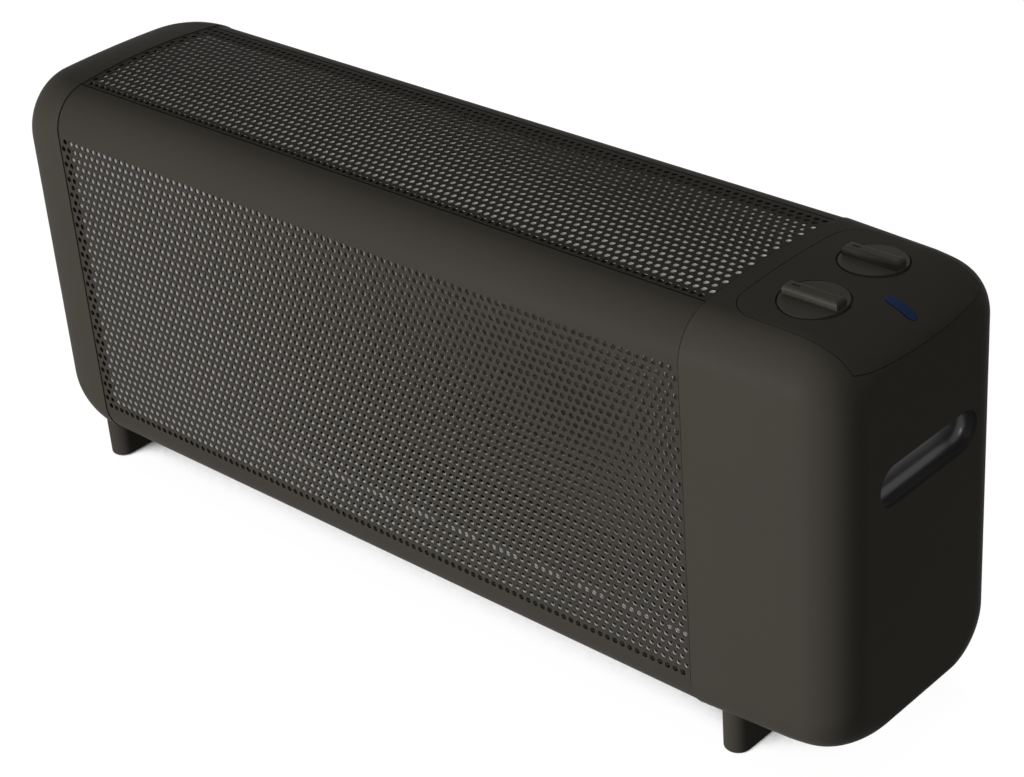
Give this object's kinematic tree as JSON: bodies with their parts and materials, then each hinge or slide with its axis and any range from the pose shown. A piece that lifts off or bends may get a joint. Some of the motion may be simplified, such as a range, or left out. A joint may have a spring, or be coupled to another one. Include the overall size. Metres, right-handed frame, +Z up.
{
  "type": "micathermic heater",
  "caption": "Low free-standing micathermic heater: perforated casing between rounded end caps with hand recesses, turning control knobs on top and a swinging tip-over pendulum inside.",
  "frame": {"origin": "centre of the bounding box at floor level", "axes": "+X along the heater towards the end with the controls, -Y towards the pictured front, +Z up"},
  "size_m": [0.649, 0.162, 0.2901],
  "materials": {
    "casing_black": "satin powder coat",
    "cap_black": "satin",
    "cup_grey": "matte",
    "knob_black": "satin",
    "guard_grey": "matte",
    "bare_steel": "galvanised",
    "screw_steel": "blackened",
    "mica": "flaky sheen",
    "heater_foil": "bright",
    "electric_white": "matte",
    "pilot_blue": "clear gloss",
    "lamp_glass": "clear",
    "rubber_black": "matte"
  },
  "bodies": {
    "casing": {"base_plate": "casing_black", "base_plate_screws": "screw_steel", "bush_nuts": "bare_steel", "control_panel": "cap_black", "control_panel_screws": "screw_steel", "cord_gland": "rubber_black", "element_rails": "bare_steel", "foot_pads": "rubber_black", "foot_screws": "screw_steel", "front_guard": "guard_grey", "front_heating_foil": "heater_foil", "front_mica_core": "mica", "front_mica_cover": "mica", "front_panel": "casing_black", "left_bulkhead": "bare_steel", "left_cap_screws": "screw_steel", "left_end_cap": "cap_black", "left_foot": "cap_black", "left_hand_cup": "cup_grey", "pilot_lamp": "lamp_glass", "pilot_lens": "pilot_blue", "power_switch": "electric_white", "rear_guard": "guard_grey", "rear_heating_foil": "heater_foil", "rear_mica_core": "mica", "rear_mica_cover": "mica", "rear_panel": "casing_black", "rear_panel_screws": "screw_steel", "right_bulkhead": "bare_steel", "right_cap_screws": "screw_steel", "right_end_cap": "cap_black", "right_foot": "cap_black", "right_hand_cup": "cup_grey", "terminal_block": "electric_white", "thermal_cutout": "bare_steel", "thermostat": "electric_white", "tilt_housing": "electric_white", "tilt_microswitch": "electric_white", "tilt_pivot_pin": "bare_steel", "top_grille": "casing_black", "top_guard": "guard_grey", "wiring_leads": "rubber_black"},
    "power_control": {"power_knob": "knob_black", "power_shaft": "bare_steel"},
    "thermostat_control": {"thermostat_knob": "knob_black", "thermostat_shaft": "bare_steel"},
    "pendulum": {"tilt_pendulum": "bare_steel"}
  },
  "joints": [
    {"name": "power_knob_turn", "type": "hinge", "parent": "casing", "child": "power_control", "pos_m": [0.2725, -0.0262, 0.28498], "axis": [0, -0.0393, 0.9992], "range_deg": [-90, 0]},
    {"name": "thermostat_knob_turn", "type": "hinge", "parent": "casing", "child": "thermostat_control", "pos_m": [0.2725, 0.0262, 0.28498], "axis": [0, 0.0393, 0.9992], "range_deg": [-270, 0]},
    {"name": "tilt_pendulum_swing", "type": "hinge", "parent": "casing", "child": "pendulum", "pos_m": [0.2365, -0.02, 0.1095], "axis": [1, 0, 0], "range_deg": [-25, 25]}
  ]
}
